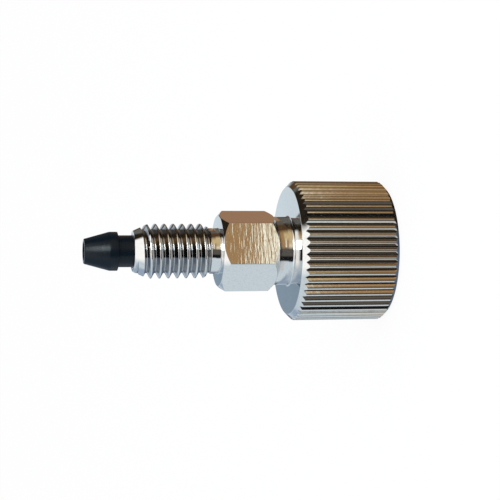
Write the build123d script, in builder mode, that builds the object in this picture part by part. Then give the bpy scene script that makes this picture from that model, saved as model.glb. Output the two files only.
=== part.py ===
from build123d import *
from math import radians, sqrt, tan
import os

# Finger-tight fitting for 1/16 inch tube: a one-piece knurled nut with a 10-32 thread, and a
# plastic cone ferrule whose stem snaps into the nut's front bore and turns freely there.
# Millimetres and degrees. +Z runs along the axis from the back of the head to the cone's tip.

# Finger head
head_diameter = 12.5
head_length = 8.7
head_front_chamfer = 0.55
head_back_chamfer = 0.45
knurl_count = 56
knurl_depth = 0.27
knurl_angle = 90.0
knurl_turn = 1.5

# Neck between the head and the hexagon
neck_diameter = 6.1
neck_length = 1.4
neck_root_bevel = 0.2

# Hexagon for a 1/4 inch wrench
hex_across_flats = 6.35
hex_length = 4.95
hex_end_diameter = 6.25
hex_chamfer_angle = 45.0

# Plain shank behind the thread
shank_diameter = 4.05
shank_length = 0.85

# 10-32 UNF thread, right-handed
thread_diameter = 4.826
thread_pitch = 25.4 / 32
thread_length = 6.75
thread_depth = 0.487
thread_crest_width = 0.099
thread_flank_angle = 60.0
first_crest_setback = 0.26
runout_length = 0.5
lead_diameter = 3.6
lead_length = 1.35

# Bores of the nut
passage_diameter = 1.7
entry_diameter = 3.2
entry_angle = 90.0
seat_depth = 5.0
seat_mouth_chamfer = 0.12
groove_depth = 0.12
groove_width = 0.5
groove_setback = 0.6

# Ferrule
stem_diameter = 2.8
stem_clearance = 0.03
stem_exposed = 1.35
stem_end_chamfer = 0.15
bead_height = 0.08
bead_width = 0.36
collar_diameter = 3.42
collar_length = 0.7
cone_angle = 31.0
tip_diameter = 2.18
ferrule_bore_diameter = 1.62
ferrule_bore_chamfer = 0.12

# Stations along the axis
neck_z = head_length
hex_z = neck_z + neck_length
shank_z = hex_z + hex_length
thread_z = shank_z + shank_length
front_z = thread_z + thread_length
shoulder_z = front_z - seat_depth
groove_z = shoulder_z + groove_setback
collar_z = front_z + stem_exposed
cone_z = collar_z + collar_length
tip_z = cone_z + (collar_diameter - tip_diameter) / 2 / tan(radians(cone_angle / 2))

# Radii
head_radius = head_diameter / 2
neck_radius = neck_diameter / 2
hex_end_radius = hex_end_diameter / 2
hex_corner_radius = hex_across_flats / sqrt(3)
shank_radius = shank_diameter / 2
crest_radius = thread_diameter / 2
root_radius = crest_radius - thread_depth
lead_radius = lead_diameter / 2
passage_radius = passage_diameter / 2
stem_radius = stem_diameter / 2
seat_radius = stem_radius + stem_clearance
collar_radius = collar_diameter / 2
tip_radius = tip_diameter / 2
ferrule_bore_radius = ferrule_bore_diameter / 2

# How far a cutting outline reaches past the metal, and how deep the ridge's foot is sunk to join
overcut = 0.5
ridge_sink = 0.12


def turned(points, mode=Mode.ADD):
    """Turn a closed outline of (radius, z) points round the axis."""
    with BuildSketch(Plane.XZ) as outline:
        with BuildLine():
            Polyline(*points, close=True)
        make_face()
    revolve(outline.sketch, axis=Axis.Z, mode=mode)


def turn_corner(face_radius, face_z, side_radius, side_z):
    """Turn off the corner between an end face and a side, and what stands out past it."""
    reach = side_radius + overcut
    slope = (side_z - face_z) / (side_radius - face_radius)
    turned(
        [(face_radius, face_z), (reach, face_z), (reach, side_z + slope * overcut)],
        Mode.SUBTRACT,
    )


def knurled_section():
    """Circle with straight V notches all round."""
    notch_half_width = (knurl_depth + overcut) * tan(radians(knurl_angle / 2))
    first_notch_angle = knurl_turn + 180 / knurl_count
    with BuildSketch(Plane.XY) as section:
        Circle(head_radius)
        with PolarLocations(head_radius - knurl_depth, knurl_count, start_angle=first_notch_angle):
            Polygon(
                (0, 0),
                (knurl_depth + overcut, -notch_half_width),
                (knurl_depth + overcut, notch_half_width),
                align=None,
                mode=Mode.SUBTRACT,
            )
    return section.sketch


def thread_ridge():
    """Sweep the 60 degree ridge along a helix from the shank to past the nut's front."""
    first_crest_z = front_z - first_crest_setback
    turns_back = int((first_crest_z - shank_z) / thread_pitch)
    turns_past = 2
    base_radius = root_radius - ridge_sink
    crest_half = thread_crest_width / 2
    base_half = crest_half + (crest_radius - base_radius) * tan(radians(thread_flank_angle / 2))
    with BuildLine(mode=Mode.PRIVATE):
        coil = Helix(
            pitch=thread_pitch,
            height=(turns_back + turns_past) * thread_pitch,
            radius=root_radius,
            center=(0, 0, first_crest_z - turns_back * thread_pitch),
        )
    with BuildSketch(Plane(origin=coil @ 0, x_dir=(1, 0, 0), z_dir=coil % 0)) as ridge:
        Polygon(
            (base_radius - root_radius, -base_half),
            (crest_radius - root_radius, -crest_half),
            (crest_radius - root_radius, crest_half),
            (base_radius - root_radius, base_half),
            align=None,
        )
    sweep(ridge.sketch, path=coil, is_frenet=True)


with BuildPart() as nut:
    # Root cylinder of the thread with its ridge, then the lead and the run-out turned on it
    with BuildSketch(Plane.XY.offset(shank_z)):
        Circle(root_radius)
    extrude(amount=front_z - shank_z)
    thread_ridge()
    reach = crest_radius + overcut
    past_coil_z = front_z + 3 * thread_pitch
    lead_slope = lead_length / (crest_radius - lead_radius)
    turned(
        [
            (0, front_z),
            (lead_radius, front_z),
            (reach, front_z - lead_slope * (reach - lead_radius)),
            (reach, past_coil_z),
            (0, past_coil_z),
        ],
        Mode.SUBTRACT,
    )
    runout_slope = runout_length / (crest_radius - shank_radius)
    turned(
        [
            (shank_radius, shank_z - thread_pitch),
            (reach, shank_z - thread_pitch),
            (reach, thread_z + runout_slope * (reach - shank_radius)),
            (shank_radius, thread_z),
        ],
        Mode.SUBTRACT,
    )

    # Plain shank
    with BuildSketch(Plane.XY.offset(shank_z)):
        Circle(shank_radius)
    extrude(amount=shank_length)

    # Hexagon with both ends turned to a cone
    with BuildSketch(Plane.XY.offset(hex_z)):
        RegularPolygon(hex_across_flats / 2, 6, major_radius=False)
    extrude(amount=hex_length)
    hex_chamfer = (hex_corner_radius - hex_end_radius) * tan(radians(hex_chamfer_angle))
    turn_corner(hex_end_radius, hex_z, hex_corner_radius, hex_z + hex_chamfer)
    turn_corner(hex_end_radius, shank_z, hex_corner_radius, shank_z - hex_chamfer)

    # Knurled head
    extrude(knurled_section(), amount=head_length)
    turn_corner(head_radius - head_back_chamfer, 0, head_radius, head_back_chamfer)
    turn_corner(head_radius - head_front_chamfer, neck_z, head_radius, neck_z - head_front_chamfer)

    # Neck, left stouter by a small bevel where it meets the head
    turned(
        [
            (0, neck_z),
            (neck_radius + neck_root_bevel, neck_z),
            (neck_radius, neck_z + neck_root_bevel),
            (neck_radius, hex_z),
            (0, hex_z),
        ]
    )

    # Bores: tube entry, tube passage, ferrule seat and the groove for the ferrule's bead
    entry_radius = entry_diameter / 2
    entry_depth = (entry_radius - passage_radius) / tan(radians(entry_angle / 2))
    turned(
        [
            (0, 0),
            (entry_radius, 0),
            (passage_radius, entry_depth),
            (passage_radius, shoulder_z),
            (seat_radius, shoulder_z),
            (seat_radius, groove_z),
            (seat_radius + groove_depth, groove_z),
            (seat_radius + groove_depth, groove_z + groove_width),
            (seat_radius, groove_z + groove_width),
            (seat_radius, front_z - seat_mouth_chamfer),
            (seat_radius + seat_mouth_chamfer, front_z),
            (0, front_z),
        ],
        Mode.SUBTRACT,
    )
nut.part.label = "nut"

with BuildPart() as ferrule:
    # Stem with its snap bead, collar and cone in one outline, with the tube's bore left open
    bead_middle_z = groove_z + groove_width / 2
    turned(
        [
            (ferrule_bore_radius, tip_z),
            (ferrule_bore_radius, shoulder_z + ferrule_bore_chamfer),
            (ferrule_bore_radius + ferrule_bore_chamfer, shoulder_z),
            (stem_radius - stem_end_chamfer, shoulder_z),
            (stem_radius, shoulder_z + stem_end_chamfer),
            (stem_radius, bead_middle_z - bead_width / 2),
            (stem_radius + bead_height, bead_middle_z),
            (stem_radius, bead_middle_z + bead_width / 2),
            (stem_radius, collar_z),
            (collar_radius, collar_z),
            (collar_radius, cone_z),
            (tip_radius, tip_z),
        ]
    )
ferrule.part.label = "ferrule"

os.makedirs("parts", exist_ok=True)
export_step(nut.part, "parts/nut.step")
export_step(ferrule.part, "parts/ferrule.step")
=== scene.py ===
import math

import bmesh
import bpy
from mathutils import Matrix, Vector


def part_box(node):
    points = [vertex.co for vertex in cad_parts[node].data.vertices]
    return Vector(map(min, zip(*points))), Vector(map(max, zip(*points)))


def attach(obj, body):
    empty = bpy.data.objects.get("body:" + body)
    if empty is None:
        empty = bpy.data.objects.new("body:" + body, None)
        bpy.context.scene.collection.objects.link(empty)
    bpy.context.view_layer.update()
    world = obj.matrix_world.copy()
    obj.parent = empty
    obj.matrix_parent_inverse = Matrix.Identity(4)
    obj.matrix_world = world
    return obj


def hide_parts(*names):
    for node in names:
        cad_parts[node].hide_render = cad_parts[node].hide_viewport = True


# Finger-tight fitting: a bright plated nut and a black plastic ferrule.
# Sizes are in millimetres, angles in degrees; a finished mesh is scaled to metres once.

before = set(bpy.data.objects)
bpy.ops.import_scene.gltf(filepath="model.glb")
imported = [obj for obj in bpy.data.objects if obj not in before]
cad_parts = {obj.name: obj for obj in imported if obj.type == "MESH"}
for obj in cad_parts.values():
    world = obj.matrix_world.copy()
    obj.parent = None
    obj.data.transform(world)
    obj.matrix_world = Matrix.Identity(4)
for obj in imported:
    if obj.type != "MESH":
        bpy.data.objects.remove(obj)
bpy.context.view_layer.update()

METRE = 0.001
TURN = 2 * math.pi

# Overall sizes; the nut's front, the ferrule's shoulder and its tip come from the imported solids
_, nut_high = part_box("nut")
ferrule_low, ferrule_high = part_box("ferrule")
HEAD_RADIUS = 6.25
FRONT_Z = nut_high.z / METRE
SHOULDER_Z = ferrule_low.z / METRE
TIP_Z = ferrule_high.z / METRE

# Finger head
HEAD_LENGTH = 8.7
HEAD_FRONT_CHAMFER = 0.55
HEAD_BACK_CHAMFER = 0.45
TEETH = 56
TOOTH_DEPTH = 0.27
TOOTH_TURN = 1.5
TOOTH_LIP = 0.072

# Neck, hexagon and plain shank
NECK_RADIUS = 3.05
NECK_FILLET = 0.2
HEX_Z = 10.1
HEX_FLAT = 3.175
HEX_END_RADIUS = 3.125
SHANK_Z = 15.05
SHANK_RADIUS = 2.025
EDGE = 0.04
SLIGHT_EDGE = 0.03
SHANK_FILLET = 0.08
NUT_STEPS = 240

# Thread
PITCH = 25.4 / 32
CREST_RADIUS = 2.413
THREAD_DEPTH = 0.487
CREST_WIDTH = 0.099
FIRST_CREST = 0.36
THREAD_Z = 15.9
RUNOUT = 0.5
LEAD_RADIUS = 1.8
LEAD_LENGTH = 1.35
FLANK_ANGLE = 30
ROOT_FILLET = 0.05
CREST_EDGE = 0.03
THREAD_TURNS = 12
TURNS_PAST_FRONT = 2
STEPS_PER_TURN = 96

# Bores
ENTRY_RADIUS = 1.6
PASSAGE_RADIUS = 0.85
SEAT_RADIUS = 1.43
GROOVE_DEPTH = 0.12
GROOVE_WIDTH = 0.5
GROOVE_SETBACK = 0.6
MOUTH = 0.12
PASSAGE_EDGE = 0.05

# Ferrule
STEM_RADIUS = 1.4
STEM_END_CHAMFER = 0.15
BEAD_HEIGHT = 0.08
BEAD_WIDTH = 0.36
COLLAR_RADIUS = 1.71
COLLAR_Z = FRONT_Z + 1.35
CONE_Z = COLLAR_Z + 0.7
TIP_RADIUS = 1.09
BORE_RADIUS = 0.81
BORE_CHAMFER = 0.12
BORE_EDGE = 0.02
BEAD_EDGE = 0.03
STEM_FILLET = 0.06
COLLAR_BACK_EDGE = 0.05
COLLAR_FRONT_EDGE = 0.1
TIP_EDGE = 0.06
FERRULE_STEPS = 192

# How far the cutting bars and the blank reach past the faces that they meet
OVERCUT = 0.4
KNURL_BAR_BACK = 1.0
KNURL_BAR_FRONT = 0.3
HEX_BAR_BACK = 1.2
HEX_BAR_FRONT = 0.5
THREAD_BAR_START = 0.3
THREAD_BAR_FRONT = 0.4

# Points closer than this are one point
MERGE = 1e-5
COIL_MERGE = 1e-4
PLANE_SLACK = 1e-6

# Which finish a face of the nut takes
TURNED, KNURLED, MILLED, THREADED = range(4)


def new_object(name, bm, finish=0):
    """Put a finished bmesh into the scene as an object, with one finish on its faces."""
    for face in bm.faces:
        face.material_index = finish
    mesh = bpy.data.meshes.new(name)
    for _ in range(THREADED + 1):
        mesh.materials.append(None)
    bm.to_mesh(mesh)
    bm.free()
    piece = bpy.data.objects.new(name, mesh)
    bpy.context.scene.collection.objects.link(piece)
    return piece


def outline(bm, points, closed=True):
    """A chain of edges through (radius, z) points in the XZ plane."""
    verts = [bm.verts.new((radius, 0, z)) for radius, z in points]
    pairs = zip(verts, verts[1:] + verts[:1] if closed else verts[1:])
    return verts, [bm.edges.new(pair) for pair in pairs]


def round_corners(bm, verts, radius, segments=4):
    """Round the corners of a chain of edges."""
    bmesh.ops.bevel(
        bm, geom=verts, offset=radius, offset_type="OFFSET", segments=segments,
        profile=0.5, affect="VERTICES", material=-1,
    )


def turned_blank(name, points, steps):
    """Turn a closed outline of (radius, z, corner radius) round the axis."""
    bm = bmesh.new()
    verts, _ = outline(bm, [(r, z) for r, z, _ in points])
    for corner in sorted({c for _, _, c in points if c}):
        chosen = [v for v, (_, _, c) in zip(verts, points) if c == corner]
        round_corners(bm, chosen, corner)
    bmesh.ops.spin(
        bm, geom=bm.verts[:] + bm.edges[:], cent=(0, 0, 0), axis=(0, 0, 1),
        angle=TURN, steps=steps, use_merge=True,
    )
    bmesh.ops.remove_doubles(bm, verts=bm.verts[:], dist=MERGE)
    bmesh.ops.recalc_face_normals(bm, faces=bm.faces[:])
    return new_object(name, bm)


def raise_bar(bm, height):
    """Draw a flat section up along the axis into a closed bar."""
    up = bmesh.ops.extrude_face_region(bm, geom=bm.faces[:], use_keep_orig=True)
    moved = [v for v in up["geom"] if isinstance(v, bmesh.types.BMVert)]
    bmesh.ops.translate(bm, verts=moved, vec=(0, 0, height))
    bmesh.ops.recalc_face_normals(bm, faces=bm.faces[:])


def knurled_bar():
    """A bar with the head's toothed section: one tooth, repeated round the axis."""
    half_pitch = math.pi / TEETH
    mouth_angle = math.asin(TOOTH_DEPTH / HEAD_RADIUS)
    bm = bmesh.new()
    polar = [
        (HEAD_RADIUS - TOOTH_DEPTH, -half_pitch),
        (HEAD_RADIUS, mouth_angle - half_pitch),
        (HEAD_RADIUS, 0),
        (HEAD_RADIUS, half_pitch - mouth_angle),
        (HEAD_RADIUS - TOOTH_DEPTH, half_pitch),
    ]
    first = math.radians(TOOTH_TURN)
    verts = [
        bm.verts.new((r * math.cos(a + first), r * math.sin(a + first), 0)) for r, a in polar
    ]
    for pair in zip(verts, verts[1:]):
        bm.edges.new(pair)
    round_corners(bm, [verts[1], verts[3]], TOOTH_LIP)
    bmesh.ops.spin(
        bm, geom=bm.verts[:] + bm.edges[:], cent=(0, 0, 0), axis=(0, 0, 1),
        angle=TURN - 2 * half_pitch, steps=TEETH - 1, use_duplicate=True,
    )
    bmesh.ops.remove_doubles(bm, verts=bm.verts[:], dist=MERGE)
    bmesh.ops.translate(bm, verts=bm.verts[:], vec=(0, 0, -KNURL_BAR_BACK))
    bmesh.ops.contextual_create(bm, geom=bm.edges[:])
    raise_bar(bm, HEAD_LENGTH + (KNURL_BAR_BACK + KNURL_BAR_FRONT))
    return new_object("knurled_bar", bm, KNURLED)


def hexagon_bar():
    """A bar with the hexagon's section, its long edges a little rounded."""
    bm = bmesh.new()
    corner_radius = HEX_FLAT / math.cos(math.pi / 6)
    made = bmesh.ops.create_circle(bm, cap_ends=True, radius=corner_radius, segments=6)
    bmesh.ops.rotate(bm, verts=made["verts"], matrix=Matrix.Rotation(math.pi / 6, 3, "Z"))
    round_corners(bm, made["verts"], EDGE, segments=3)
    bmesh.ops.translate(bm, verts=bm.verts[:], vec=(0, 0, HEX_Z - HEX_BAR_BACK))
    raise_bar(bm, SHANK_Z - HEX_Z + (HEX_BAR_BACK + HEX_BAR_FRONT))
    return new_object("hexagon_bar", bm, MILLED)


def threaded_bar():
    """A bar with the 60 degree thread: one pitch of its outline, spun along the axis."""
    root = CREST_RADIUS - THREAD_DEPTH
    half_crest = CREST_WIDTH / 2
    half_base = half_crest + THREAD_DEPTH * math.tan(math.radians(FLANK_ANGLE))
    crest_z = FRONT_Z - FIRST_CREST - (THREAD_TURNS - TURNS_PAST_FRONT) * PITCH
    bm = bmesh.new()
    points = [
        (root, -PITCH / 2), (root, -half_base), (CREST_RADIUS, -half_crest),
        (CREST_RADIUS, half_crest), (root, half_base), (root, PITCH / 2),
    ]
    verts, edges = outline(bm, [(r, crest_z + z) for r, z in points], closed=False)
    round_corners(bm, [verts[1], verts[4]], ROOT_FILLET, segments=3)
    round_corners(bm, [verts[2], verts[3]], CREST_EDGE, segments=3)
    bmesh.ops.spin(
        bm, geom=bm.verts[:] + bm.edges[:], cent=(0, 0, 0), axis=(0, 0, 1),
        dvec=(0, 0, PITCH / STEPS_PER_TURN), angle=TURN * THREAD_TURNS,
        steps=STEPS_PER_TURN * THREAD_TURNS,
    )
    bmesh.ops.remove_doubles(bm, verts=bm.verts[:], dist=COIL_MERGE)
    ends = ((SHANK_Z + THREAD_BAR_START, (0, 0, -1)), (FRONT_Z + THREAD_BAR_FRONT, (0, 0, 1)))
    for z, normal in ends:
        cut = bmesh.ops.bisect_plane(
            bm, geom=bm.verts[:] + bm.edges[:] + bm.faces[:], plane_co=(0, 0, z),
            plane_no=normal, clear_outer=True, dist=PLANE_SLACK,
        )
        rim = [e for e in cut["geom_cut"] if isinstance(e, bmesh.types.BMEdge)]
        bmesh.ops.contextual_create(bm, geom=rim)
    bmesh.ops.recalc_face_normals(bm, faces=bm.faces[:])
    return new_object("threaded_bar", bm, THREADED)


def combine(base, tool, operation):
    """Cut or join two solids into base, and take the tool away."""
    change = base.modifiers.new("combine", "BOOLEAN")
    change.object = tool
    change.operation = operation
    change.solver = "EXACT"
    graph = bpy.context.evaluated_depsgraph_get()
    graph.update()
    made = bpy.data.meshes.new_from_object(base.evaluated_get(graph), depsgraph=graph)
    base.modifiers.clear()
    old = base.data
    base.data = made
    bpy.data.meshes.remove(old)
    bpy.data.objects.remove(tool)


def nut_blank():
    """The nut as it leaves the lathe: every turned face, chamfer and bore."""
    hex_corner = HEX_FLAT / math.cos(math.pi / 6)
    hex_drop = hex_corner + OVERCUT - HEX_END_RADIUS
    lead_slope = LEAD_LENGTH / (CREST_RADIUS - LEAD_RADIUS)
    runout_slope = RUNOUT / (CREST_RADIUS - SHANK_RADIUS)
    groove_z = SHOULDER_Z + GROOVE_SETBACK
    crest = CREST_RADIUS + OVERCUT
    head = HEAD_RADIUS + OVERCUT
    points = [
        (ENTRY_RADIUS, 0, SLIGHT_EDGE),
        (HEAD_RADIUS - HEAD_BACK_CHAMFER, 0, EDGE),
        (head, HEAD_BACK_CHAMFER + OVERCUT, 0),
        (head, HEAD_LENGTH - HEAD_FRONT_CHAMFER - OVERCUT, 0),
        (HEAD_RADIUS - HEAD_FRONT_CHAMFER, HEAD_LENGTH, EDGE),
        (NECK_RADIUS, HEAD_LENGTH, NECK_FILLET),
        (NECK_RADIUS, HEX_Z, SLIGHT_EDGE),
        (HEX_END_RADIUS, HEX_Z, SLIGHT_EDGE),
        (HEX_END_RADIUS + hex_drop, HEX_Z + hex_drop, 0),
        (HEX_END_RADIUS + hex_drop, SHANK_Z - hex_drop, 0),
        (HEX_END_RADIUS, SHANK_Z, SLIGHT_EDGE),
        (SHANK_RADIUS, SHANK_Z, SHANK_FILLET),
        (SHANK_RADIUS, THREAD_Z, SLIGHT_EDGE),
        (crest, THREAD_Z + runout_slope * (crest - SHANK_RADIUS), 0),
        (crest, FRONT_Z - lead_slope * (crest - LEAD_RADIUS), 0),
        (LEAD_RADIUS, FRONT_Z, EDGE),
        (SEAT_RADIUS + MOUTH, FRONT_Z, 0),
        (SEAT_RADIUS, FRONT_Z - MOUTH, 0),
        (SEAT_RADIUS, groove_z + GROOVE_WIDTH, 0),
        (SEAT_RADIUS + GROOVE_DEPTH, groove_z + GROOVE_WIDTH, 0),
        (SEAT_RADIUS + GROOVE_DEPTH, groove_z, 0),
        (SEAT_RADIUS, groove_z, 0),
        (SEAT_RADIUS, SHOULDER_Z, 0),
        (PASSAGE_RADIUS, SHOULDER_Z, 0),
        (PASSAGE_RADIUS, ENTRY_RADIUS - PASSAGE_RADIUS, PASSAGE_EDGE),
    ]
    return turned_blank("nut_body", points, NUT_STEPS)


def smooth(piece, angle=28.0, face_weight=100):
    """Smooth shading between faces that meet at less than the angle, true on flat faces."""
    mesh = piece.data
    mesh.polygons.foreach_set("use_smooth", [True] * len(mesh.polygons))
    mesh.set_sharp_from_angle(angle=math.radians(angle))
    weigh = piece.modifiers.new("weigh_normals", "WEIGHTED_NORMAL")
    weigh.keep_sharp = True
    weigh.weight = face_weight


def to_metres(piece):
    """Scale a finished mesh from millimetres."""
    piece.data.transform(Matrix.Scale(METRE, 4))
    piece.data.update()


def make_nut():
    """Cut the blank by the knurled, six-sided and threaded bars, joined into one."""
    body = nut_blank()
    bar = knurled_bar()
    combine(bar, hexagon_bar(), "UNION")
    combine(bar, threaded_bar(), "UNION")
    combine(body, bar, "INTERSECT")
    to_metres(body)
    smooth(body)
    return body


def make_ferrule():
    """Turn the ferrule in one outline; its small front end takes the second finish."""
    groove_middle = SHOULDER_Z + GROOVE_SETBACK + GROOVE_WIDTH / 2
    points = [
        (BORE_RADIUS, TIP_Z, BORE_EDGE),
        (BORE_RADIUS, SHOULDER_Z + BORE_CHAMFER, 0),
        (BORE_RADIUS + BORE_CHAMFER, SHOULDER_Z, 0),
        (STEM_RADIUS - STEM_END_CHAMFER, SHOULDER_Z, 0),
        (STEM_RADIUS, SHOULDER_Z + STEM_END_CHAMFER, 0),
        (STEM_RADIUS, groove_middle - BEAD_WIDTH / 2, 0),
        (STEM_RADIUS + BEAD_HEIGHT, groove_middle, BEAD_EDGE),
        (STEM_RADIUS, groove_middle + BEAD_WIDTH / 2, 0),
        (STEM_RADIUS, COLLAR_Z, STEM_FILLET),
        (COLLAR_RADIUS, COLLAR_Z, COLLAR_BACK_EDGE),
        (COLLAR_RADIUS, CONE_Z, COLLAR_FRONT_EDGE),
        (TIP_RADIUS, TIP_Z, TIP_EDGE),
    ]
    body = turned_blank("ferrule_body", points, FERRULE_STEPS)
    to_metres(body)
    smooth(body)
    facing_forward = 0.9
    end_z = (TIP_Z - 0.1) * METRE
    for face in body.data.polygons:
        face.material_index = int(face.normal.z > facing_forward and face.center.z > end_z)
    return body


def add_node(tree, kind, inputs=None, **settings):
    """Add a shader node; an input is a plain value or the socket that feeds it."""
    made = tree.nodes.new(kind)
    for name, value in settings.items():
        setattr(made, name, value)
    for name, value in (inputs or {}).items():
        if isinstance(value, bpy.types.NodeSocket):
            tree.links.new(value, made.inputs[name])
        else:
            made.inputs[name].default_value = value
    return made


def math_node(tree, operation, *values):
    """A Math node's result, from sockets or numbers."""
    inputs = dict(enumerate(values))
    return add_node(tree, "ShaderNodeMath", inputs, operation=operation).outputs[0]


def set_ramp(ramp_node, stops):
    """Fill a colour ramp with (position, colour) stops."""
    ramp = ramp_node.color_ramp
    while len(ramp.elements) > 1:
        ramp.elements.remove(ramp.elements[-1])
    for place, (position, colour) in enumerate(stops):
        stop = ramp.elements[0] if place == 0 else ramp.elements.new(position)
        stop.position = position
        stop.color = (*colour, 1)


def new_group(name, inputs, outputs):
    """An empty shader group with named sockets, its input and output nodes."""
    group = bpy.data.node_groups.new(name, "ShaderNodeTree")
    for socket_name, kind, value in inputs:
        socket = group.interface.new_socket(socket_name, in_out="INPUT", socket_type=kind)
        if value is not None:
            socket.default_value = value
    for socket_name, kind in outputs:
        group.interface.new_socket(socket_name, in_out="OUTPUT", socket_type=kind)
    return group, group.nodes.new("NodeGroupInput"), group.nodes.new("NodeGroupOutput")


def radius_and_height(tree, vector):
    """Distance from the axis and height along it, both in millimetres."""
    apart = add_node(tree, "ShaderNodeSeparateXYZ", {"Vector": vector})
    flat = add_node(tree, "ShaderNodeCombineXYZ",
                    {"X": apart.outputs["X"], "Y": apart.outputs["Y"]})
    length = add_node(tree, "ShaderNodeVectorMath", {0: flat.outputs[0]}, operation="LENGTH")
    radius = math_node(tree, "MULTIPLY", length.outputs["Value"], 1 / METRE)
    height = math_node(tree, "MULTIPLY", apart.outputs["Z"], 1 / METRE)
    return radius, height


def turned_marks_group():
    """Fine rings left by a lathe tool, round the axis on every turned face."""
    group, enter, leave = new_group(
        "turned_marks",
        [("Vector", "NodeSocketVector", None), ("Marks Per Mm", "NodeSocketFloat", 8.0)],
        [("Height", "NodeSocketFloat")],
    )
    radius, height = radius_and_height(group, enter.outputs["Vector"])
    radius_share = 0.73
    along = math_node(group, "MULTIPLY_ADD", radius, radius_share, height)
    place = math_node(group, "MULTIPLY", along, enter.outputs["Marks Per Mm"])
    rings = add_node(
        group, "ShaderNodeTexNoise", {"W": place, "Scale": 1.0, "Detail": 2.0, "Roughness": 0.6},
        noise_dimensions="1D",
    )
    group.links.new(rings.outputs["Fac"], leave.inputs["Height"])
    return group


def milled_marks_group():
    """Streaks left by a cutter that crossed the axis: close along it, long across it."""
    group, enter, leave = new_group(
        "milled_marks",
        [("Vector", "NodeSocketVector", None), ("Marks Per Mm", "NodeSocketFloat", 6.0),
         ("Stretch", "NodeSocketFloat", 0.16)],
        [("Height", "NodeSocketFloat")],
    )
    across = enter.outputs["Stretch"]
    shape = add_node(group, "ShaderNodeCombineXYZ", {"X": across, "Y": across, "Z": 1.0})
    long = add_node(group, "ShaderNodeVectorMath",
                    {0: enter.outputs["Vector"], 1: shape.outputs[0]}, operation="MULTIPLY")
    size = math_node(group, "MULTIPLY", enter.outputs["Marks Per Mm"], 1 / METRE)
    streaks = add_node(
        group, "ShaderNodeTexNoise",
        {"Vector": long.outputs[0], "Scale": size, "Detail": 2.0, "Roughness": 0.5},
    )
    group.links.new(streaks.outputs["Fac"], leave.inputs["Height"])
    return group


def plating_group():
    """The slight unevenness of bright plate: soft hollows, and a duller bloom here and there."""
    group, enter, leave = new_group(
        "plating",
        [("Vector", "NodeSocketVector", None), ("Patch Per Mm", "NodeSocketFloat", 0.8)],
        [("Height", "NodeSocketFloat"), ("Bloom", "NodeSocketFloat")],
    )
    size = math_node(group, "MULTIPLY", enter.outputs["Patch Per Mm"], 1 / METRE)
    soft = add_node(group, "ShaderNodeTexNoise",
                    {"Vector": enter.outputs["Vector"], "Scale": size,
                     "Detail": 2.0, "Roughness": 0.5})
    finer_by = 7.0
    fine_size = math_node(group, "MULTIPLY", size, finer_by)
    fine = add_node(group, "ShaderNodeTexNoise",
                    {"Vector": enter.outputs["Vector"], "Scale": fine_size,
                     "Detail": 3.0, "Roughness": 0.6})
    bloom = add_node(group, "ShaderNodeMapRange",
                     {"Value": fine.outputs["Fac"], "From Min": 0.45, "From Max": 0.8})
    group.links.new(soft.outputs["Fac"], leave.inputs["Height"])
    group.links.new(bloom.outputs["Result"], leave.inputs["Bloom"])
    return group


def groove_group():
    """How deep a place lies in a groove: 0 on the crest's radius, 1 on the root's; it sets how
    much painted shade the place takes.
    """
    group, enter, leave = new_group(
        "groove",
        [("Vector", "NodeSocketVector", None), ("Crest Radius", "NodeSocketFloat", 1.0),
         ("Root Radius", "NodeSocketFloat", 0.5)],
        [("Depth", "NodeSocketFloat")],
    )
    radius, _ = radius_and_height(group, enter.outputs["Vector"])
    depth = add_node(group, "ShaderNodeMapRange",
                     {"Value": radius, "From Min": enter.outputs["Crest Radius"],
                      "From Max": enter.outputs["Root Radius"]})
    group.links.new(depth.outputs["Result"], leave.inputs["Depth"])
    return group


GROUPS = {
    "groove": groove_group(),
    "turned": turned_marks_group(),
    "milled": milled_marks_group(),
    "plating": plating_group(),
}


def use_group(tree, name, inputs):
    """Place one of the groups, with its own values."""
    return add_node(tree, "ShaderNodeGroup", inputs, node_tree=GROUPS[name])


def new_material(name):
    """A material with its tree, its shader and the piece's own coordinates."""
    material = bpy.data.materials.new(name)
    material.use_nodes = True
    tree = material.node_tree
    coordinates = add_node(tree, "ShaderNodeTexCoord")
    return material, tree, tree.nodes["Principled BSDF"], coordinates.outputs["Object"]


def bump_chain(tree, heights):
    """Bump nodes one on another, from (height socket, depth in metres)."""
    normal = None
    for socket, depth in heights:
        inputs = {"Height": socket, "Distance": depth, "Strength": 1.0}
        if normal is not None:
            inputs["Normal"] = normal
        normal = add_node(tree, "ShaderNodeBump", inputs).outputs["Normal"]
    return normal


# Tones of the plate, and of the plastic
BRIGHT = (0.80, 0.79, 0.775, 1)
DULL = (0.70, 0.69, 0.675, 1)
PLASTIC = (0.0022, 0.0055, 0.0105, 1)
PLASTIC_BLOOM = (0.0050, 0.0110, 0.0165, 1)
PLASTIC_GRAIN_DEPTH = 3e-6


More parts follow.
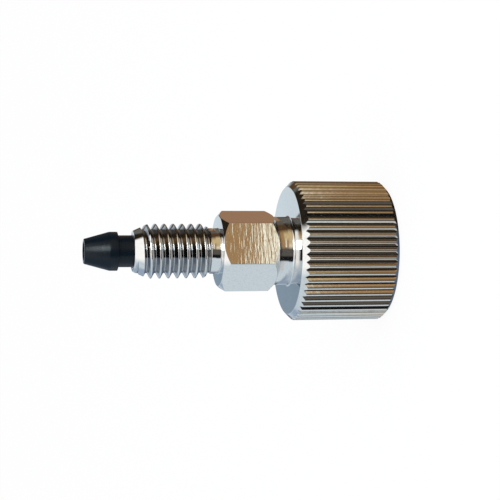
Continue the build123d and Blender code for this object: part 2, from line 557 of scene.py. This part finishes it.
def bright_metal(name, marks, marks_per_mm, mark_depth, patch_depth, roughness, spread,
                 groove=None):
    """Bright plated metal over the marks of the tool that cut it, with painted shade down in a
    groove.
    """
    material, tree, shader, vector = new_material(name)
    plate = use_group(tree, "plating", {"Vector": vector})
    tool = use_group(tree, marks, {"Vector": vector, "Marks Per Mm": marks_per_mm})
    tone = add_node(tree, "ShaderNodeMix",
                    {"Factor": plate.outputs["Bloom"], "A": BRIGHT, "B": DULL},
                    data_type="RGBA")
    colour = tone.outputs["Result"]
    # Painted shade: the colour is darkened by how deep the place lies in the groove
    if groove:
        crest_radius, root_radius, painted_shade_tones = groove
        inside = use_group(tree, "groove", {
            "Vector": vector, "Crest Radius": crest_radius, "Root Radius": root_radius,
        })
        painted_shade_ramp = add_node(tree, "ShaderNodeValToRGB", {"Fac": inside.outputs["Depth"]})
        set_ramp(painted_shade_ramp, painted_shade_tones)
        painted_shade_mix = add_node(tree, "ShaderNodeMix",
                          {"Factor": 1.0, "A": colour, "B": painted_shade_ramp.outputs["Color"]},
                          data_type="RGBA", blend_type="MULTIPLY")
        colour = painted_shade_mix.outputs["Result"]
    tree.links.new(colour, shader.inputs["Base Color"])
    rough = add_node(tree, "ShaderNodeMapRange",
                     {"Value": plate.outputs["Bloom"],
                      "To Min": roughness, "To Max": roughness + spread})
    tree.links.new(rough.outputs["Result"], shader.inputs["Roughness"])
    shader.inputs["Metallic"].default_value = 1.0
    normal = bump_chain(tree, [
        (plate.outputs["Height"], patch_depth), (tool.outputs["Height"], mark_depth),
    ])
    tree.links.new(normal, shader.inputs["Normal"])
    return material


def black_plastic(name, roughness, spread, gloss, ring_depth):
    """Machined black plastic with faint lathe rings."""
    material, tree, shader, vector = new_material(name)
    tool = use_group(tree, "turned", {"Vector": vector, "Marks Per Mm": 5.0})
    grain = use_group(tree, "plating", {"Vector": vector, "Patch Per Mm": 2.0})
    colour = add_node(tree, "ShaderNodeMix",
                      {"Factor": grain.outputs["Bloom"], "A": PLASTIC, "B": PLASTIC_BLOOM},
                      data_type="RGBA")
    tree.links.new(colour.outputs["Result"], shader.inputs["Base Color"])
    rough = add_node(tree, "ShaderNodeMapRange",
                     {"Value": tool.outputs["Height"],
                      "To Min": roughness, "To Max": roughness + spread})
    shader.inputs["Specular IOR Level"].default_value = gloss
    tree.links.new(rough.outputs["Result"], shader.inputs["Roughness"])
    normal = bump_chain(tree, [
        (grain.outputs["Bloom"], PLASTIC_GRAIN_DEPTH), (tool.outputs["Height"], ring_depth),
    ])
    tree.links.new(normal, shader.inputs["Normal"])
    return material


def set_materials(piece, materials):
    """Fill the slots that the faces already point at, and drop the spare ones."""
    slots = piece.data.materials
    for place, material in enumerate(materials):
        slots[place] = material
    while len(slots) > len(materials):
        slots.pop(index=len(slots) - 1)


# Painted shade by depth in a groove, from its crest to its root, multiplied into the plate's
# colour: in the knurl a dark line just below the crest, a lighter flank and a dark root; in the
# thread everything below the crest darker
KNURL_PAINTED_SHADE = [
    (0.0, (1, 1, 1)), (0.12, (1, 1, 1)), (0.18, (0.38, 0.35, 0.32)), (0.28, (0.38, 0.35, 0.32)),
    (0.38, (1.0, 0.97, 0.92)), (0.78, (1.0, 0.97, 0.92)), (0.90, (0.22, 0.20, 0.18)),
]
THREAD_PAINTED_SHADE = [
    (0.0, (1, 1, 1)), (0.08, (1, 1, 1)), (0.18, (0.60, 0.61, 0.63)), (1.0, (0.56, 0.57, 0.59)),
]

# Pieces
nut = make_nut()
set_materials(nut, [
    bright_metal("nut_turned", "turned", marks_per_mm=6.0, mark_depth=8e-7, patch_depth=2e-6,
                 roughness=0.06, spread=0.08),
    # The knurled and threaded finishes below carry painted shade in their grooves
    bright_metal("nut_knurled", "turned", marks_per_mm=3.0, mark_depth=8e-7, patch_depth=5e-6,
                 roughness=0.08, spread=0.12,
                 groove=(HEAD_RADIUS, HEAD_RADIUS - TOOTH_DEPTH, KNURL_PAINTED_SHADE)),
    bright_metal("nut_milled", "milled", marks_per_mm=5.0, mark_depth=3.6e-6, patch_depth=6e-7,
                 roughness=0.04, spread=0.03),
    bright_metal("nut_threaded", "turned", marks_per_mm=6.0, mark_depth=6e-7, patch_depth=3e-6,
                 roughness=0.07, spread=0.10,
                 groove=(CREST_RADIUS, CREST_RADIUS - THREAD_DEPTH, THREAD_PAINTED_SHADE)),
])
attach(nut, "nut")
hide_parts("nut")

ferrule = make_ferrule()
set_materials(ferrule, [
    black_plastic("ferrule_black", roughness=0.18, spread=0.12, gloss=0.22, ring_depth=5e-6),
    black_plastic("ferrule_end", roughness=0.10, spread=0.05, gloss=0.5, ring_depth=1e-6),
])
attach(ferrule, "ferrule")
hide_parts("ferrule")


# Floor
FLOOR_SIZE = 3.0
PAPER = (0.92, 0.92, 0.92, 1)
GLOW_SHARE = 0.9


def make_floor():
    """White ground that keeps the shadow and is not mirrored in the metal."""
    bm = bmesh.new()
    bmesh.ops.create_grid(bm, x_segments=1, y_segments=1, size=FLOOR_SIZE)
    floor = new_object("floor", bm)
    material = bpy.data.materials.new("floor_white")
    material.use_nodes = True
    tree = material.node_tree
    tree.nodes.clear()
    path = add_node(tree, "ShaderNodeLightPath")
    glow = add_node(tree, "ShaderNodeEmission", {"Color": (1, 1, 1, 1), "Strength": 1.0})
    paper = add_node(tree, "ShaderNodeBsdfDiffuse", {"Color": PAPER})
    seen = math_node(tree, "MAXIMUM", path.outputs["Is Camera Ray"], path.outputs["Is Glossy Ray"])
    seen = math_node(tree, "MAXIMUM", seen, path.outputs["Is Transmission Ray"])
    share = math_node(tree, "MULTIPLY", seen, GLOW_SHARE)
    mixed = add_node(tree, "ShaderNodeMixShader",
                     {"Fac": share, 1: paper.outputs[0], 2: glow.outputs[0]})
    add_node(tree, "ShaderNodeOutputMaterial", {"Surface": mixed.outputs[0]})
    set_materials(floor, [material])
    floor.visible_glossy = False


make_floor()

# Studio surround: bands of colour by direction, round the axis and by height along it, that
# only glossy rays see. These two directions set where the angle round the axis starts.
TOWARD_FRONT = (-0.1977, -0.9803, 0.0)
TOWARD_TOP = (0.9803, -0.1977, 0.0)


def ramp_stops(stops):
    """Turn (angle from the front in degrees, colour) into places along a ramp."""
    return [((angle + 180) / 360, colour) for angle, colour in stops]


WHITE = (1.20, 1.20, 1.18)
PALE = (0.67, 0.77, 0.84)
HAZE = (0.36, 0.46, 0.60)
MIST = (0.25, 0.33, 0.42)
SHADE = (0.12, 0.16, 0.22)
BLACK = (0.008, 0.008, 0.009)
NIGHT = (0.020, 0.015, 0.009)
SMOKE = (0.105, 0.098, 0.085)
IVORY = (1.16, 1.12, 0.92)
CREAM = (0.90, 0.80, 0.62)
GOLD = (0.68, 0.52, 0.27)
BROWN = (0.41, 0.25, 0.115)
UMBER = (0.10, 0.055, 0.025)
DUSK = (0.13, 0.115, 0.09)
CLAY = (0.36, 0.21, 0.125)
SLATE = (0.15, 0.15, 0.14)
STEEL = (0.66, 0.67, 0.65)
STRAW = (0.62, 0.48, 0.28)

# Bands round the axis at six heights, from the head's end of the axis to the tip's end
DEEP_BANDS = ramp_stops([
    (-180, SHADE), (-150, SHADE), (-120, HAZE), (-40, HAZE), (-34, BLACK), (16, BLACK),
    (26, UMBER), (50, UMBER), (64, NIGHT), (180, NIGHT),
])
LOW_BANDS = ramp_stops([
    (-180, SHADE), (-150, SHADE), (-125, PALE), (-82, PALE), (-66, STEEL), (-38, STEEL),
    (-33, BLACK), (-22, BLACK), (-16, SMOKE), (4, SMOKE), (12, BROWN), (62, BROWN), (76, UMBER),
    (95, UMBER), (104, DUSK), (118, DUSK), (126, CLAY), (155, BROWN), (180, BROWN),
])
LEVEL_BANDS = ramp_stops([
    (-180, SHADE), (-150, SHADE), (-115, PALE), (-38, PALE), (-33, BLACK), (-22, BLACK),
    (-16, SMOKE), (4, SMOKE), (13, BROWN), (34, BROWN), (42, GOLD), (56, GOLD), (76, UMBER),
    (95, UMBER), (104, DUSK), (120, DUSK), (128, CLAY), (180, CLAY),
])
SHORE_BANDS = ramp_stops([
    (-180, SHADE), (-150, SHADE), (-115, PALE), (-40, PALE), (-35, BLACK), (-22, BLACK),
    (-16, SMOKE), (4, SMOKE), (14, CREAM), (28, STRAW), (50, GOLD), (66, GOLD), (80, UMBER),
    (95, UMBER), (106, SLATE), (160, SLATE), (172, PALE), (180, PALE),
])
BEHIND_BANDS = ramp_stops([
    (-180, MIST), (-175, MIST), (-167, PALE), (-150, HAZE), (-100, HAZE), (-60, PALE),
    (-38, PALE), (-33, BLACK), (12, BLACK), (20, WHITE), (32, WHITE), (44, GOLD), (60, BROWN),
    (76, NIGHT), (98, NIGHT), (110, SLATE), (142, SLATE), (148, UMBER), (158, UMBER), (167, PALE),
    (180, PALE),
])
HIGH_BANDS = ramp_stops([
    (-180, HAZE), (-120, PALE), (-70, PALE), (-45, WHITE), (70, WHITE), (82, NIGHT), (141, NIGHT),
    (152, PALE), (180, PALE),
])


# Heights between which a level takes over from the one before it; the first is DEEP_BANDS
LOWER_LEVELS = [(-0.40, -0.34, LOW_BANDS), (-0.282, -0.268, LEVEL_BANDS)]
UPPER_LEVELS = [
    (-0.17, -0.14, SHORE_BANDS), (-0.02, 0.08, BEHIND_BANDS), (0.38, 0.46, HIGH_BANDS),
]
TIP_END = (0.90, 0.96)
HEAD_END = (-0.85, -0.95)

# Ivory patch: where its first and last edges come in, by height and by angle
PATCH_HEIGHTS = ((-0.252, -0.244), (-0.2195, -0.2235))
PATCH_ANGLES = ((8, 14), (44, 34))

# What other rays see
DAYLIGHT = (1.0, 1.0, 1.02, 1)
BACKDROP = (1, 1, 1, 1)


def make_world():
    """The surround for glossy rays, and plain white for all others."""
    world = bpy.data.worlds.new("studio")
    world.use_nodes = True
    tree = world.node_tree
    tree.nodes.clear()
    way = add_node(tree, "ShaderNodeTexCoord").outputs["Generated"]
    front = add_node(tree, "ShaderNodeVectorMath", {0: way, 1: TOWARD_FRONT},
                     operation="DOT_PRODUCT")
    top = add_node(tree, "ShaderNodeVectorMath", {0: way, 1: TOWARD_TOP},
                   operation="DOT_PRODUCT")
    around = math_node(tree, "ARCTAN2", top.outputs["Value"], front.outputs["Value"])
    place = math_node(tree, "MULTIPLY_ADD", around, 1 / TURN, 0.5)
    height = add_node(tree, "ShaderNodeSeparateXYZ", {"Vector": way}).outputs["Z"]

    def bands(stops):
        ramp = add_node(tree, "ShaderNodeValToRGB", {"Fac": place})
        set_ramp(ramp, stops)
        return ramp.outputs["Color"]

    def step(value, low, high):
        return add_node(tree, "ShaderNodeMapRange",
                        {"Value": value, "From Min": low, "From Max": high}).outputs["Result"]

    def mix(share, first, second):
        return add_node(tree, "ShaderNodeMix", {"Factor": share, "A": first, "B": second},
                        data_type="RGBA").outputs["Result"]

    def window(value, edges):
        (first_low, first_high), (last_low, last_high) = edges
        return math_node(tree, "MULTIPLY", step(value, first_low, first_high),
                         step(value, last_low, last_high))

    shown = bands(DEEP_BANDS)
    for low, high, stops in LOWER_LEVELS:
        shown = mix(step(height, low, high), shown, bands(stops))
    patch_places = [[0.5 + angle / 360 for angle in edge] for edge in PATCH_ANGLES]
    patch = math_node(tree, "MULTIPLY", window(height, PATCH_HEIGHTS), window(place, patch_places))
    shown = mix(patch, shown, (*IVORY, 1))
    for low, high, stops in UPPER_LEVELS:
        shown = mix(step(height, low, high), shown, bands(stops))
    shown = mix(step(height, *TIP_END), shown, (*WHITE, 1))
    shown = mix(step(height, *HEAD_END), shown, (*SHADE, 1))

    path = add_node(tree, "ShaderNodeLightPath")
    plain = mix(path.outputs["Is Camera Ray"], DAYLIGHT, BACKDROP)
    shown = mix(path.outputs["Is Glossy Ray"], plain, shown)
    ground = add_node(tree, "ShaderNodeBackground", {"Color": shown, "Strength": 1.0})
    add_node(tree, "ShaderNodeOutputWorld", {"Surface": ground.outputs[0]})
    bpy.context.scene.world = world


make_world()

# Camera
CAMERA_PLACE = Vector((-0.024017, -0.119110, 0.0383005))
CAMERA_RIGHT = Vector((-0.05117, -0.20472, -0.97748))
CAMERA_FORWARD = Vector((0.19376, 0.95813, -0.21081))
CAMERA_ROLL = 0.35
CAMERA_LENS = 100.2
SENSOR_WIDTH = 36.0
CLIP_START = 0.005
CLIP_END = 20.0


def make_camera():
    """A long lens from the side, rolled a little."""
    data = bpy.data.cameras.new("camera")
    data.sensor_fit = "HORIZONTAL"
    data.sensor_width = SENSOR_WIDTH
    data.lens = CAMERA_LENS
    data.clip_start = CLIP_START
    data.clip_end = CLIP_END
    camera = bpy.data.objects.new("camera", data)
    bpy.context.scene.collection.objects.link(camera)
    back = -CAMERA_FORWARD.normalized()
    right = CAMERA_RIGHT - CAMERA_RIGHT.dot(back) * back
    right.normalize()
    right = Matrix.Rotation(math.radians(CAMERA_ROLL), 3, back) @ right
    up = back.cross(right)
    turn = Matrix((right, up, back)).transposed()
    camera.matrix_world = Matrix.Translation(CAMERA_PLACE) @ turn.to_4x4()
    bpy.context.scene.camera = camera


make_camera()

# Lamp
LAMP_CENTRE = Vector((0, 0, 0.012))
LAMP_AIM = (0, 0, 0.020)


def make_lamp(name, place, aim, size, radiance, colour):
    """A rectangular lamp whose power follows from how bright its face is."""
    data = bpy.data.lights.new(name, "AREA")
    data.shape = "RECTANGLE"
    data.size, data.size_y = size
    data.energy = radiance * math.pi * size[0] * size[1]
    data.color = colour
    lamp = bpy.data.objects.new(name, data)
    bpy.context.scene.collection.objects.link(lamp)
    lamp.location = place
    lamp.rotation_euler = (Vector(aim) - Vector(place)).to_track_quat("-Z", "Y").to_euler()


def lamp_place(angle, elevation, distance):
    """A place by angle round the axis from the front, elevation, and distance."""
    front = Vector(TOWARD_FRONT)
    top = Vector(TOWARD_TOP)
    flat = front * math.cos(math.radians(angle)) + top * math.sin(math.radians(angle))
    rise = Vector((0, 0, math.sin(math.radians(elevation))))
    place = flat * math.cos(math.radians(elevation)) + rise
    return place * distance + LAMP_CENTRE


make_lamp("soft_box", lamp_place(angle=20, elevation=27, distance=0.30), LAMP_AIM,
          size=(0.15, 0.07), radiance=8.5, colour=(0.84, 0.98, 1.0))

bpy.context.scene.view_settings.view_transform = "Standard"
